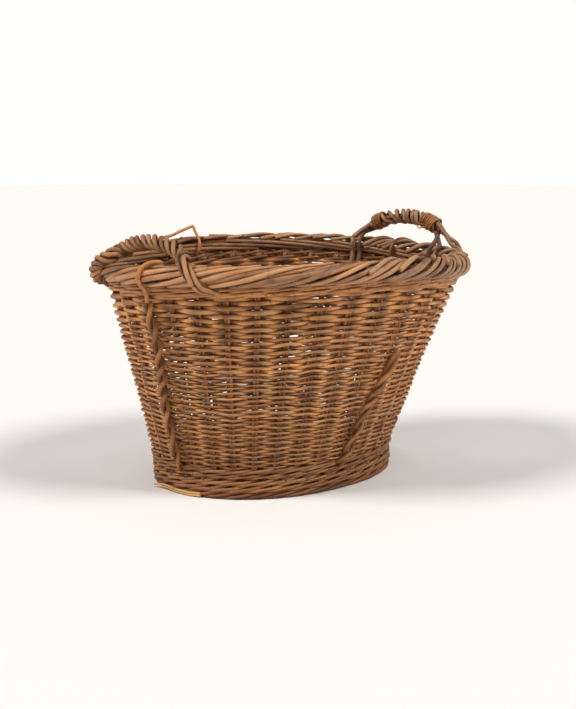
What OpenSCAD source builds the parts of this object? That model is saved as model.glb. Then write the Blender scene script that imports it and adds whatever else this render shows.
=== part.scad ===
// Oval wicker log basket with a woven foot, roped handles and rope braces.
// Millimetres, +Z up, long axis along X. The origin lies on the floor under the middle of the mouth.
// The front of the basket faces -Y. Angles go round the oval from +X, anticlockwise from above.

/* [Body] */
// Height from the floor to the crest of the border
rim_height = 375; // [340:1:410]
// Half of the wall's length at the top of the foot
base_half_length = 213; // [195:1:235]
// Half of the wall's width at the top of the foot
base_half_width = 165; // [150:1:180]
// Half of the wall's length just under the border
mouth_half_length = 314; // [300:1:330]
// Half of the wall's width just under the border
mouth_half_width = 240; // [228:1:255]
// Exponent of the oval, where 2 is an ellipse and more is squarer
oval_power = 2.15; // [2:0.05:2.4]
// How far the mouth leans towards +X over the foot
lean_x = 16; // [0:1:24]
// How far the mouth leans towards -Y over the foot
lean_y = 16; // [0:1:24]
// Height of the dip of the rim at the two ends
rim_dip = 6; // [0:1:10]
// Height of the twist of the rim between the corners
rim_twist = 3; // [0:1:6]

/* [Weave] */
// Number of doubled stakes round the wall
stake_pairs = 34; // [34:4:34]
// Diameter of each stake and bye-stake
stake_d = 6; // [5:0.5:6]
// Number of siding courses between the two wales
siding_courses = 10; // [6:1:12]
// Thickness of a siding course
course_t = 5; // [4:0.5:5]
// Thickness of a waling row
wale_t = 6; // [5:0.5:6]

/* [Border] */
// Distance of the border's middle line outside the wall
border_out = 9; // [8:0.5:10]
// Radius on which the border rods lie
border_r = 13; // [12.8:0.1:13.4]
// Diameter of a border rod
border_rod_d = 7.8; // [7:0.2:7.8]
// Number of stake gaps that one border rod passes
border_travel = 3; // [3:1:3]

/* [Foot and base] */
// Height of the foot border
foot_border_h = 12; // [10:0.5:12]
// Diameter of a cross stick of the base
cross_stick_d = 12; // [10:0.5:12]
// Diameter of a long stick of the base
long_stick_d = 8; // [7:0.5:8]
// Number of woven rings in the base
base_rings = 6; // [3:1:6]

/* [Handles] */
// Half of the span of each handle
handle_half_span = 110; // [105:1:116]
// Height of the middle line of the left handle
left_handle_z = 408; // [404:1:420]
// Height of the middle line of the right handle
right_handle_z = 414; // [404:1:420]
// Diameter of the bow inside each handle
bow_d = 9; // [8:0.5:9]
// Diameter of a roping rod
roping_d = 7; // [6:0.5:7]

/* [Hidden] */

// Colours of buff willow, from the sunlit weavers to the darker bindings
buff = [0.66, 0.48, 0.31];
brown = [0.50, 0.34, 0.21];
grey_brown = [0.55, 0.43, 0.32];
orange_brown = [0.52, 0.30, 0.16];

// Air left between two pieces that lie against each other
gap = 0.4;
// Air left beside a stake, where a straight run of weave cuts the corner of the oval
stake_air = 0.8;
// The wall is straight from here to here, and its oval grows evenly between the two
wall_low = 45;
wall_high = rim_height - 35;
// Middle of the border's section, and the outer radius of that section
border_z = rim_height - border_r - border_rod_d / 2;
border_outer_r = border_r + border_rod_d / 2;
pitch = 360 / stake_pairs;
// A run of weave lies flat on a stake for this share of a stake gap on each side
flat_share = 0.25;
// Levels of the foot, the base and the two wales
foot_wale_top = 2 * foot_border_h;
foot_stake_d = 5;
foot_half_length = base_half_length - 1;
foot_half_width = base_half_width - 1;
foot_border_w = 14;
base_z = foot_wale_top + 7;
weave_h = cross_stick_d + 3;
ring_w = 24;
stick_proud = 7;
upset_low = base_z + cross_stick_d / 2 + gap;
wale_h = 5.8;
wale_rows = 2;
siding_low = upset_low + wale_rows * wale_h + gap;
siding_high = wall_high - wale_rows * wale_h - gap;
course_h = (siding_high - siding_low) / siding_courses;
wale_swing = stake_d / 2 + wale_t / 2 + stake_air;
siding_swing = stake_d / 2 + course_t / 2 + stake_air;

// --- the oval and the wall ---

function signed_power(v) = sign(v) * pow(abs(v), 2 / oval_power);

function oval(a, b, t) = [a * signed_power(cos(t)), b * signed_power(sin(t))];

// Share of the way up the wall
function rise(z) = (z - wall_low) / (wall_high - wall_low);

// Middle of the oval at a height: the mouth is centred on the origin and the foot is not
function middle(z) = [lean_x, -lean_y] * (rise(z) - 1);

// The rim dips at the ends and twists a little
function wave(t) = rim_twist * sin(2 * t) - rim_dip * cos(2 * t);

// A point of the wall's middle surface, moved outwards by out
function wall(t, z, out = 0) =
    let (k = rise(z),
        a = base_half_length + (mouth_half_length - base_half_length) * k + out,
        b = base_half_width + (mouth_half_width - base_half_width) * k + out,
        p = oval(a, b, t) + middle(z))
    [p.x, p.y, z + wave(t) * max(k, 0)];

// A point of the border's section: r from its middle, turned by f from the outward direction
function rim(t, r, f) =
    let (out = border_out + r * cos(f),
        p = oval(mouth_half_length + out, mouth_half_width + out, t))
    [p.x, p.y, border_z + wave(t) + r * sin(f)];

function unit(v) = v / norm(v);

// The part of v at right angles to the unit vector w
function beside(v, w) = unit(v - (v * w) * w);

// --- solids swept along rings of points ---

// Faces of one swept solid whose points start at index o, with n rings of m points
function sweep_faces(o, n, m, closed) = concat(
    [for (i = [0:n - (closed ? 1 : 2)], j = [0:m - 1])
        let (next = (i + 1) % n, k = (j + 1) % m)
        each [[o + i * m + j, o + i * m + k, o + next * m + k],
            [o + i * m + j, o + next * m + k, o + next * m + j]]],
    closed ? [] : [[for (j = [m - 1:-1:0]) o + j], [for (j = [0:m - 1]) o + (n - 1) * m + j]]);

// Several swept solids, all with the same number of rings and of points to a ring
module sweeps(solids, closed = false) {
    n = len(solids[0]);
    m = len(solids[0][0]);
    points = [for (s = solids, r = s, p = r) p];
    faces = [for (i = [0:len(solids) - 1], f = sweep_faces(i * n * m, n, m, closed)) f];
    polyhedron(points = points, faces = faces, convexity = 8);
}

// Rings of a round rod along a path, with sides points each; no part of the path runs along hint
function rod(path, hint, d, sides = 6) =
    let (n = len(path))
    [for (i = [0:n - 1])
        let (along = unit(path[min(i + 1, n - 1)] - path[max(i - 1, 0)]),
            u = beside(hint, along),
            v = cross(u, along))
        [for (j = [0:sides - 1]) path[i] + d / 2 * (cos(360 * j / sides) * u + sin(360 * j / sides) * v)]];

// Rings of a band that waves in front of and behind the stakes, from height low to height high
function wavy_band(low, high, thick, swing, phase) =
    [for (i = [0:stake_pairs - 1], side = [-1, 1])
        let (t = (i + side * flat_share) * pitch,
            out = (i + phase) % 2 == 0 ? swing : -swing)
        [wall(t, low, out - thick / 2), wall(t, low, out + thick / 2),
            wall(t, high, out + thick / 2), wall(t, high, out - thick / 2)]];

// --- straight rods ---

// An exact round rod between two points
module straight_rod(from, to, d) {
    v = to - from;
    translate(from)
        rotate([0, acos(v.z / norm(v)), atan2(v.y, v.x)])
            cylinder(h = norm(v), d = d, $fn = 24);
}

// Rods up the wall beside each stake place, shifted sideways by side times half a rod
module stake_set(side, low, high) {
    for (i = [0:stake_pairs - 1]) {
        t = i * pitch;
        sideways = unit(wall(t + 1, low) - wall(t - 1, low)) * side * (stake_d + gap) / 2;
        straight_rod(wall(t, low) + sideways, wall(t, high) + sideways, stake_d);
    }
}

// --- foot ---

// Flat oval ring, solid from its floor up
module oval_ring(a, b, w, h) {
    steps = 2 * stake_pairs;
    linear_extrude(height = h)
        difference() {
            polygon([for (i = [0:steps - 1]) oval(a, b, i * 360 / steps)]);
            polygon([for (i = [0:steps - 1]) oval(a - w, b - w, i * 360 / steps)]);
        }
}

// The foot ends in a border of its own, and the basket stands on it
module foot_border() {
    color(brown)
        translate(middle(base_z))
            oval_ring(foot_half_length + foot_border_w / 2, foot_half_width + foot_border_w / 2,
                foot_border_w, foot_border_h);
}

// Place of a foot stake
function foot_point(t, z, out = 0) =
    let (p = oval(foot_half_length + out, foot_half_width + out, t) + middle(base_z))
    [p.x, p.y, z];

// Short rods pushed up into the base, which the foot is woven on
module foot_stakes() {
    color(brown)
        for (i = [0:stake_pairs - 1])
            straight_rod(foot_point(i * pitch, foot_border_h + gap), foot_point(i * pitch, foot_wale_top),
                foot_stake_d);
}

// Two rows of waling round the foot stakes
module foot_wale() {
    swing = foot_stake_d / 2 + course_t / 2 + stake_air;
    row_h = (foot_wale_top - foot_border_h - gap) / wale_rows;
    color(buff)
        sweeps([for (row = [0:wale_rows - 1])
            let (low = foot_border_h + gap + row * row_h, high = low + row_h - gap)
            [for (i = [0:stake_pairs - 1], side = [-1, 1])
                let (t = (i + side * flat_share) * pitch,
                    out = (i + row) % 2 == 0 ? swing : -swing)
                [foot_point(t, low, out - course_t / 2), foot_point(t, low, out + course_t / 2),
                    foot_point(t, high, out + course_t / 2), foot_point(t, high, out - course_t / 2)]]],
            closed = true);
}

// --- base ---

// Sticks leave the base half way between two stakes
cross_places = [for (j = [-3:3]) 90 + j * pitch];
long_places = [for (j = [-1.5:1:1.5]) j * pitch];

// Half of the length of a base stick that ends between the stakes at angle t
function cross_half_length(t) = oval(1, base_half_width + stick_proud, t).y;
function long_half_length(t) = oval(base_half_length + stick_proud, 1, t).x;

// Boxes as wide and as high as a set of sticks, for the slits and channels that they lie in
module long_slots(w, h) {
    for (t = long_places)
        translate([0, oval(1, base_half_width, t).y, 0])
            cube([3 * base_half_length, w, h], center = true);
}

module cross_slots(w, h) {
    for (t = cross_places)
        translate([oval(base_half_length, 1, t).x, 0, 0])
            cube([w, 3 * base_half_width, h], center = true);
}

module at_base() {
    translate([middle(base_z).x, middle(base_z).y, base_z])
        children();
}

// Thick sticks across the base, each slit where the long sticks go through
module base_cross_sticks() {
    color(brown)
        at_base()
            for (t = cross_places)
                difference() {
                    translate([oval(base_half_length, 1, t).x, cross_half_length(t), 0])
                        rotate([90, 0, 0])
                            cylinder(h = 2 * cross_half_length(t), d = cross_stick_d, $fn = 24);
                    long_slots(long_stick_d + 2 * gap, long_stick_d + 2 * gap);
                }
}

// Sticks along the base, threaded through the cross sticks
module base_long_sticks() {
    color(brown)
        at_base()
            for (t = long_places)
                translate([-long_half_length(t), oval(1, base_half_width, t).y, 0])
                    rotate([0, 90, 0])
                        cylinder(h = 2 * long_half_length(t), d = long_stick_d, $fn = 24);
}

// Woven rings of the base, with a channel for each stick
module base_weave() {
    edge = stake_d / 2 + 2 * gap + (wall_low - base_z) * 0.35;
    color(buff)
        at_base()
            difference() {
                for (ring = [0:base_rings - 1])
                    translate([0, 0, -weave_h / 2])
                        oval_ring(base_half_length - edge - ring * ring_w, base_half_width - edge - ring * ring_w,
                            ring_w - gap, weave_h);
                cross_slots(cross_stick_d + 2 * gap, cross_stick_d + 2 * gap);
                long_slots(long_stick_d + 2 * gap, long_stick_d + 2 * gap);
            }
}

// --- wall ---

// The stakes that carry the wall, from the base to the border
module stakes() {
    color(brown)
        stake_set(-1, foot_wale_top + gap, wall_high);
}

// A second rod beside each stake
module bye_stakes() {
    color(brown)
        stake_set(1, foot_wale_top + gap, wall_high);
}

// Rows of waling from a height up
module wale(low) {
    color(buff)
        sweeps([for (row = [0:wale_rows - 1])
            wavy_band(low + row * wale_h, low + (row + 1) * wale_h - gap, wale_t, wale_swing, row)],
            closed = true);
}

module upset_wale() {
    wale(upset_low);
}

module top_wale() {
    wale(siding_high + gap);
}

// One course of siding, which passes the other side of each stake from the course below
module siding_course(number) {
    low = siding_low + (number - 1) * course_h;
    color(buff)
        sweeps([wavy_band(low, low + course_h - gap, course_t, siding_swing, number)], closed = true);
}

// --- border ---

// A rod that goes all the way round inside the border
function border_ring(r, f, d) =
    [for (i = [0:stake_pairs - 1])
        let (t = i * pitch)
        [for (j = [0:5])
            let (x = r * cos(f) + d / 2 * cos(60 * j), y = r * sin(f) + d / 2 * sin(60 * j))
            rim(t, norm([x, y]), atan2(y, x))]];

// The tips of the rods, which run on together in the middle of the roll
module border_core() {
    color(brown)
        sweeps([border_ring(0, 0, border_r - border_rod_d / 2 - 1)], closed = true);
}

// The rods that fill the inside of the roll
module border_inner_rods() {
    color(grey_brown)
        sweeps([for (f = [170, 210]) border_ring(border_r, f, border_rod_d)], closed = true);
}

// Angle at which a rod comes out under the roll, and how far it turns before its cut end
border_start = -110;
border_turn = 240;

// Half of the stakes and bye-stakes turn down in each half stake gap
rods_per_part = stake_pairs / 2;

// One border rod: it comes from its stake, runs up the outside and ends on top
function border_rod(i) =
    let (steps = 2 * border_travel)
    rod([for (s = [0:steps]) rim((i + s) * pitch / 2, border_r, border_start + border_turn * s / steps)],
        [0, 0, 1], border_rod_d);

// The border rods of one quarter of the rim, counted round from the rod that starts at +X
module border_rods(first) {
    color(grey_brown)
        sweeps([for (i = [first:first + rods_per_part - 1]) border_rod(i)]);
}

// --- handles ---

// Share of a handle's half turn at which its bow starts and ends
arch_start = 0.22;
// How far the plane of a handle stands inside the border's middle line
handle_inset = 14;

// A handle as [side, height, lean]: side is -1 or 1, and lean is how far its top tips inwards
left_handle = [-1, left_handle_z, 14];
right_handle = [1, right_handle_z, -6];

// Middle line of a handle, where s goes from 0 at the front to 1 at the rear
function arch(handle, s) =
    let (foot_z = border_z - 25)
    [handle[0] * (rim(0, 0, 0).x - handle_inset - handle[2] * sin(180 * s)),
        -handle_half_span * cos(180 * s),
        foot_z + (handle[1] - foot_z) * sin(180 * s)];

// Directions along a handle, away from the basket and across
function arch_frame(handle, s) =
    let (along = unit(arch(handle, s + 0.01) - arch(handle, s - 0.01)),
        u = beside([handle[0], 0, 0], along))
    [along, u, cross(along, u)];

// The bow that the roping is wound on
module bow(handle) {
    steps = 14;
    color(brown)
        sweeps([rod([for (i = [0:steps]) arch(handle, arch_start + (1 - 2 * arch_start) * i / steps)],
            [handle[0], 0, 0], bow_d)]);
}

// Rods wound side by side round the bow
module roping(handle, strands, turns) {
    steps = ceil(turns * 7);
    wound_r = bow_d / 2 + roping_d / 2 + gap;
    color(grey_brown)
        sweeps([for (strand = [0:strands - 1])
            rod([for (i = [0:steps])
                let (s = arch_start + 0.01 + (0.98 - 2 * arch_start) * i / steps,
                    f = arch_frame(handle, s),
                    turn = 360 * (turns * i / steps + strand / strands))
                arch(handle, s) + wound_r * (cos(turn) * f[1] + sin(turn) * f[2])],
                [handle[0], 0, 0], roping_d, 5)]);
}

// Angle round the oval of the middle of a handle's foot
function handle_foot(side, end) = (side < 0 ? 180 : 0) + side * end * 25.5;

// Rods that run on from the end of the roping and hook round the border, outside it and inside it
module handle_legs(handle) {
    hook_r = border_outer_r + roping_d / 2 + gap;
    steps = 4;
    color(grey_brown)
        sweeps([for (end = [-1, 1], place = [-1, 1], face = [[1, 62, -58], [-1, 118, 225]])
            let (t = handle_foot(handle[0], end) + place * 0.95,
                s = 0.5 + end * (0.5 - arch_start + 0.012),
                f = arch_frame(handle, s),
                spread = (roping_d + gap) / 2,
                start = arch(handle, s) + spread * (face[0] * f[1] + handle[0] * place * f[2]))
            rod(concat([start],
                [for (i = [0:steps]) rim(t, hook_r, face[1] + (face[2] - face[1]) * i / steps)]),
                rim(t + 1, 0, 0) - rim(t, 0, 0) + [0, 0, 0.4], roping_d)]);
}

// Thin rods bound round a handle, side by side
module binding(handle, share, bound_turns) {
    thin_d = 2.6;
    bound_r = bow_d / 2 + roping_d + 3 * gap + thin_d / 2;
    f = arch_frame(handle, share);
    color(orange_brown)
        for (i = [0:bound_turns - 1]) {
            p = arch(handle, share) + f[0] * (i - (bound_turns - 1) / 2) * (thin_d + gap);
            translate(p)
                rotate([0, acos(f[0].z), atan2(f[0].y, f[0].x)])
                    rotate_extrude($fn = 32)
                        translate([bound_r, 0])
                            circle(d = thin_d, $fn = 16);
        }
}

module left_handle_bow() {
    bow(left_handle);
}

module left_handle_roping() {
    roping(left_handle, 3, 6);
}

module left_handle_legs() {
    handle_legs(left_handle);
}

module right_handle_bow() {
    bow(right_handle);
}

module right_handle_roping() {
    roping(right_handle, 3, 4);
}

module right_handle_legs() {
    handle_legs(right_handle);
}

module right_handle_binding_rear() {
    binding(right_handle, 0.70, 5);
}

module right_handle_binding_front() {
    binding(right_handle, 0.32, 6);
}

// --- rope braces ---

// Diameter of one of the two rods twisted together in a brace
ply_d = 6.5;
ply_r = ply_d / 2 + gap;
// Distance of a brace's middle line outside the wall
brace_out = wale_swing + wale_t / 2 + ply_r + ply_d / 2 + gap;
brace_pitch = 55;
// A loop over the border is one single rod
loop_d = 7;
loop_r = border_outer_r + loop_d / 2 + gap;

// Two rods twisted together down the outside of the wall, from angle and height to angle and height
module brace(t_top, z_top, t_low, z_low) {
    turns = norm(wall(t_top, z_top) - wall(t_low, z_low)) / brace_pitch;
    steps = ceil(turns * 5);
    along = unit(wall(t_low, z_low) - wall(t_top, z_top));
    outward = beside(wall(t_low, z_low, 10) - wall(t_low, z_low), along);
    across = cross(along, outward);
    color(orange_brown)
        sweeps([for (ply = [0, 1])
            rod([for (i = [0:steps])
                let (k = i / steps, turn = 360 * (turns * k + ply / 2))
                wall(t_top + (t_low - t_top) * k, z_top + (z_low - z_top) * k, brace_out)
                    + ply_r * (cos(turn) * outward + sin(turn) * across)],
                outward, ply_d)]);
}

// The rod of a brace, where it goes over the border from the angle start on the outside to the inside
module brace_loop(t, start) {
    steps = 9;
    end = 230;
    color(orange_brown)
        sweeps([rod([for (i = [0:steps]) rim(t, loop_r, start + (end - start) * i / steps)],
            rim(t + 1, 0, 0) - rim(t, 0, 0), loop_d)]);
}

brace_top = wall_high - 16;
brace_foot = wall_low - 5;

module left_brace() {
    brace(180, brace_top, 181, brace_foot);
}

module right_brace() {
    brace(0, brace_top, 1, brace_foot);
}

module front_brace() {
    brace(278, 228, 264, brace_foot);
}

module rear_brace() {
    brace(99, brace_top, 75, brace_foot);
}

module left_brace_loop() {
    brace_loop(180, -62);
}

module right_brace_loop() {
    brace_loop(0, -62);
}

module rear_brace_loop() {
    brace_loop(95, 50);
}

// Each quarter starts where its rods lie evenly about the middle of that side
first_right = -11;

module border_rods_right() {
    border_rods(first_right);
}

module border_rods_rear() {
    border_rods(first_right + rods_per_part);
}

module border_rods_left() {
    border_rods(first_right + 2 * rods_per_part);
}

module border_rods_front() {
    border_rods(first_right + 3 * rods_per_part);
}

foot_border();
foot_stakes();
foot_wale();
base_cross_sticks();
base_long_sticks();
base_weave();
stakes();
bye_stakes();
upset_wale();
siding_course(1);  // siding_course_1
siding_course(2);  // siding_course_2
siding_course(3);  // siding_course_3
siding_course(4);  // siding_course_4
siding_course(5);  // siding_course_5
siding_course(6);  // siding_course_6
siding_course(7);  // siding_course_7
siding_course(8);  // siding_course_8
siding_course(9);  // siding_course_9
siding_course(10);  // siding_course_10
top_wale();
border_core();
border_inner_rods();
border_rods_left();
border_rods_front();
border_rods_right();
border_rods_rear();
left_handle_bow();
left_handle_roping();
left_handle_legs();
right_handle_bow();
right_handle_roping();
right_handle_legs();
right_handle_binding_rear();
right_handle_binding_front();
left_brace();
right_brace();
front_brace();
rear_brace();
left_brace_loop();
right_brace_loop();
rear_brace_loop();
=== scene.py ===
# %% [markdown]
# # Oval willow log basket
#
# A basket is a set of rods and the paths that they take round each other. So nearly every piece here
# is made the same way: a path is worked out for each rod, and a round section is carried along it.
# The engineering model is loaded first, as a fixed frame, and each piece takes the place of some of
# its nodes.

# %% Load the frame
import math
import bpy
import numpy as np
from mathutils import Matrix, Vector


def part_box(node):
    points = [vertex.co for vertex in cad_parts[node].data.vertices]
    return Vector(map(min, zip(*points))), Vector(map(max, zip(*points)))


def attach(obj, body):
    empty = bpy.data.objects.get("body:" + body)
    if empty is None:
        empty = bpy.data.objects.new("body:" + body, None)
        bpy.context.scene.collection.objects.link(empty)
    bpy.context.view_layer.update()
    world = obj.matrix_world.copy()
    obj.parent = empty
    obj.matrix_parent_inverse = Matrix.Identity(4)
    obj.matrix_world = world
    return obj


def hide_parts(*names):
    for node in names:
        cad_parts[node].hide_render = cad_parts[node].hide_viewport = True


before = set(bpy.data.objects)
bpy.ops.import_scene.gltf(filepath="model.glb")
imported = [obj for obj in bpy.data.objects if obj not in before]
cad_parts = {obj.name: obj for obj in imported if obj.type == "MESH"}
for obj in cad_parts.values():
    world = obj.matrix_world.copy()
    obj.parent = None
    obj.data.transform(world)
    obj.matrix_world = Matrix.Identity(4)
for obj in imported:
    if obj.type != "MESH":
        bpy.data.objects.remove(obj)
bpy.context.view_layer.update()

# %% [markdown]
# ## The camera
#
# A long lens, far away and a little above the border, looking at the left end and the front together.
# It comes first, so that every piece can be judged in the view that matters.

# %% Camera
def aim_camera(azimuth, elevation, distance, lens, target):
    """Camera at an angle round the object from the front and an angle up, that looks at target."""
    a, e = math.radians(azimuth), math.radians(elevation)
    away = np.array([math.sin(a) * math.cos(e), -math.cos(a) * math.cos(e), math.sin(e)])
    data = bpy.data.cameras.new("camera")
    data.lens = lens
    camera = bpy.data.objects.new("camera", data)
    camera.location = np.asarray(target) + distance * away
    camera.rotation_euler = (math.radians(90) - e, 0, a)
    bpy.context.scene.collection.objects.link(camera)
    bpy.context.scene.camera = camera
    return camera


foot_low, foot_high = (np.array(corner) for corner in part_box("foot_border"))
foot_middle = (foot_low + foot_high)[:2] / 2
camera_azimuth, camera_elevation = -46.25, 9.78
camera_distance, camera_lens = 2.4476, 73.67
aim_right, aim_height = 0.0246, 0.1983
turned = math.radians(camera_azimuth)
sideways = aim_right * np.array([math.cos(turned), math.sin(turned)])
camera = aim_camera(camera_azimuth, camera_elevation, camera_distance, camera_lens,
                    [*(foot_middle + sideways), aim_height])
print("camera at", [round(v, 3) for v in camera.location])

# %% [markdown]
# ## The plan of the basket
#
# A basket maker sets the stakes round an oval base, lets them lean out and holds their tops with the
# border. Every place on the wall then needs two numbers: the angle round the oval, and the height.
# A third number says how far outside the middle of the wall a rod lies there. The functions below
# turn those numbers into points, as whole arrays.

# %% The oval, the wall and the border
STAKES = 34
GAP = 360 / STAKES
OVAL_POWER = 2.15
base_half = np.array([0.213, 0.165])
mouth_half = np.array([0.314, 0.240])
wall_low, wall_high = 0.045, 0.340
mouth_middle = np.zeros(2)
rim_height = 0.375
rim_dip, rim_twist = 0.006, 0.003
rim_rise, left_handle_at = 0.008, 185
rim_drop, right_front_at = 0.009, 315
border_r, border_rod_r, border_out = 0.0130, 0.0039, 0.009
core_low, core_high = (np.array(corner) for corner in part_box("border_core"))
border_z = rim_height - border_r - border_rod_r


def oval(half_x, half_y, t):
    """Points of a slightly squared oval: each half length times cosine or sine to a power just under 1."""
    c, s = np.cos(np.radians(t)), np.sin(np.radians(t))
    power = 2 / OVAL_POWER
    return np.stack([half_x * np.sign(c) * np.abs(c) ** power,
                     half_y * np.sign(s) * np.abs(s) ** power], -1)


def near(t, place):
    """One where t is at the place, falling smoothly to nothing a quarter turn away: a cosine cubed."""
    return np.maximum(np.cos(np.radians(t - place)), 0) ** 3


def wave(t):
    """Height of the rim over its mean: a sine and a cosine of twice the angle, which twist it and dip its
    ends as in the frame. The willow has warped with age, so it also rises round the left handle and
    drops at the right front."""
    bend = rim_twist * np.sin(2 * np.radians(t)) - rim_dip * np.cos(2 * np.radians(t))
    return bend + rim_rise * near(t, left_handle_at) - rim_drop * near(t, right_front_at)


def wall(t, z, out=0.0):
    """Point of the wall at angle t and height z, moved outwards by out. Half lengths and middle change
    evenly with height, from those of the foot to those of the mouth."""
    t, z, out = np.broadcast_arrays(np.asarray(t, float), z, out)
    k = (z - wall_low) / (wall_high - wall_low)
    plan = oval(base_half[0] + (mouth_half - base_half)[0] * k + out,
                base_half[1] + (mouth_half - base_half)[1] * k + out, t)
    plan = plan + (1 - k)[..., None] * (foot_middle - mouth_middle)
    return np.concatenate([plan, (z + wave(t) * np.maximum(k, 0))[..., None]], -1)


def rim(t, r, f):
    """Point r from the border's middle line, turned by f from outwards, where a quarter turn is up."""
    t, r, f = np.broadcast_arrays(np.asarray(t, float), r, np.radians(f))
    out = border_out + r * np.cos(f)
    plan = oval(mouth_half[0] + out, mouth_half[1] + out, t)
    return np.concatenate([plan, (border_z + wave(t) + r * np.sin(f))[..., None]], -1)


def foot(t, z, out=0.0):
    """Point of the upright foot at angle t and height z, moved outwards by out."""
    t, z, out = np.broadcast_arrays(np.asarray(t, float), z, out)
    plan = oval(base_half[0] - 0.001 + out, base_half[1] - 0.001 + out, t) + foot_middle
    return np.concatenate([plan, z[..., None]], -1)


print("stake gap", round(GAP, 2), "degrees; border middle at z", round(border_z, 4),
      "and in the frame", (core_low[2] + core_high[2]).round(4) / 2)

# %% [markdown]
# ## A rod
#
# A willow rod is a long thin cone that is bent. It could be a curve with a bevel, but then every rod
# would be its own object, and a curve can't carry the colour of one rod to the next. Here the rings
# of points are worked out for many rods at once, and each point also remembers how far along its rod
# it is, so that the bark's streaks can follow the rod wherever it bends.

# %% Rings along paths
rng = np.random.default_rng(34)
# The most painted shade that any point of a rod can take
most_painted_shade = 0.9


def normals(count):
    """A column of random numbers round zero, one for each rod."""
    return rng.normal(size=(count, 1))


def unit(v):
    """Vectors of length 1."""
    return v / np.linalg.norm(v, axis=-1, keepdims=True)


def rods(path, radius, hint=(0, 0, 1), sides=8, closed=False, tone=None, age=0.0, painted_shade=0.0, bumps=0.0,
         groove=0.0, flank=0.0, painted_light=0.0):
    """Round rods along paths, an array of rods by points by 3: each point's ring lies across the path,
    at radius times the cosine of the angle towards hint and the sine the other way. Painted shade goes on
    the side away from hint, as much as groove says, and on both sides across it, as much as flank says.
    Painted light is added to the tone, and bumps is how much the rod swells here and there along it."""
    path = np.asarray(path, float)
    count, n = path.shape[:2]
    after, before = np.roll(path, -1, 1), np.roll(path, 1, 1)
    if not closed:
        after[:, -1], before[:, 0] = path[:, -1], path[:, 0]
    along = unit(after - before)
    hint = np.broadcast_to(np.asarray(hint, float), path.shape)
    u = unit(hint - (hint * along).sum(-1, keepdims=True) * along)
    v = np.cross(along, u)
    step = np.linalg.norm(path - before, axis=-1)
    if closed:
        step[:, 0] = 0
    length = np.cumsum(step, 1)
    tone = rng.random(count) if tone is None else np.broadcast_to(tone, count)
    radius = np.broadcast_to(radius, (count, n))
    if bumps:
        wobble = np.sin(length * 310 + tone[:, None] * 40) * np.sin(length * 97 + tone[:, None] * 90)
        radius = radius * (1 + bumps * wobble)
    angle = 2 * np.pi * np.arange(sides) / sides
    ring = np.cos(angle)[:, None] * u[:, :, None] + np.sin(angle)[:, None] * v[:, :, None]
    points = path[:, :, None] + radius[:, :, None, None] * ring
    place = np.stack(np.broadcast_arrays(length[:, :, None] + 3.7 * tone[:, None, None],
                                         radius[:, :, None] * np.cos(angle),
                                         radius[:, :, None] * np.sin(angle)), -1)
    index = np.arange(count * n * sides).reshape(count, n, sides)
    low, high = (index, np.roll(index, -1, 1)) if closed else (index[:, :-1], index[:, 1:])
    quads = np.stack([low, np.roll(low, -1, 2), np.roll(high, -1, 2), high], -1).reshape(-1, 4)
    caps = np.zeros((0, sides), int) if closed else np.concatenate([index[:, 0, ::-1], index[:, -1]])
    # Painted shade in the crease on the side away from hint, and on both flanks where rods lie against each other
    away = np.clip(0.5 - np.cos(angle), 0, 1)
    beside = np.clip(1.6 - 2.8 * np.abs(np.cos(angle)), 0, 1)
    shade_paint = np.tile(groove * away + flank * beside, count * n)

    def spread(value):
        """A value for each point, from one for all rods, one for each rod or one for each ring."""
        value = np.asarray(value, float)
        return np.broadcast_to(value.reshape(value.shape + (1,) * (3 - value.ndim)), (count, n, sides)).ravel()

    # The tone has any painted light added to it, and painted_shade carries the painted shade
    return {"points": points.reshape(-1, 3), "quads": quads, "caps": caps, "rod": place.reshape(-1, 3),
            "tone": spread(tone[:, None] + painted_light), "age": spread(age),
            "painted_shade": np.minimum(spread(painted_shade) + shade_paint, most_painted_shade)}


def smooth(knots, n):
    """Curve through the knots of each rod: between two knots it is the cubic whose slope at a knot is
    half of the step from the knot before to the knot after."""
    knots = np.asarray(knots, float)
    if knots.ndim == 2:
        knots = knots[None]
    first, last = 2 * knots[:, :1] - knots[:, 1:2], 2 * knots[:, -1:] - knots[:, -2:-1]
    k = np.concatenate([first, knots, last], 1)
    at = np.linspace(0, knots.shape[1] - 1, n)
    i = np.minimum(at.astype(int), knots.shape[1] - 2)
    f = (at - i)[None, :, None]
    a, b, c, d = k[:, i], k[:, i + 1], k[:, i + 2], k[:, i + 3]
    return 0.5 * (2 * b + (c - a) * f + (2 * a - 5 * b + 4 * c - d) * f ** 2 + (3 * b - a - 3 * c + d) * f ** 3)


def drift(t, count, size, waves=(1, 2, 3, 5), seed=0):
    """Slow wander round the basket: a sum of a few waves with random strength, one set for each rod."""
    own = np.random.default_rng(seed)
    total = np.zeros((count,) + np.shape(t)[-1:])
    for w in waves:
        strength = own.normal(size=(count, 1))
        total = total + strength * np.sin(w * np.radians(t) + own.random((count, 1)) * 2 * np.pi)
    return size * total / math.sqrt(len(waves))


def jog(g, count, size, seed=0):
    """A random step at every stake for each rod, and straight lines from one to the next."""
    places = 3 * STAKES
    steps = np.random.default_rng(seed).normal(size=(count, places)) * size
    i = np.floor(g).astype(int) % places
    rod_number = np.arange(count)[:, None]
    f = g - np.floor(g)
    return steps[rod_number, i] * (1 - f) + steps[rod_number, (i + 1) % places] * f


print("rod helpers ready")

# %% [markdown]
# ## From rods to a piece
#
# One object holds all rods of one part of the basket. Its mesh is filled with whole arrays. The sides
# are shaded smooth and the cut ends flat, because a willow rod is cut with one clean stroke. The four
# attributes go into the mesh, and the willow material reads them.

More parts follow.
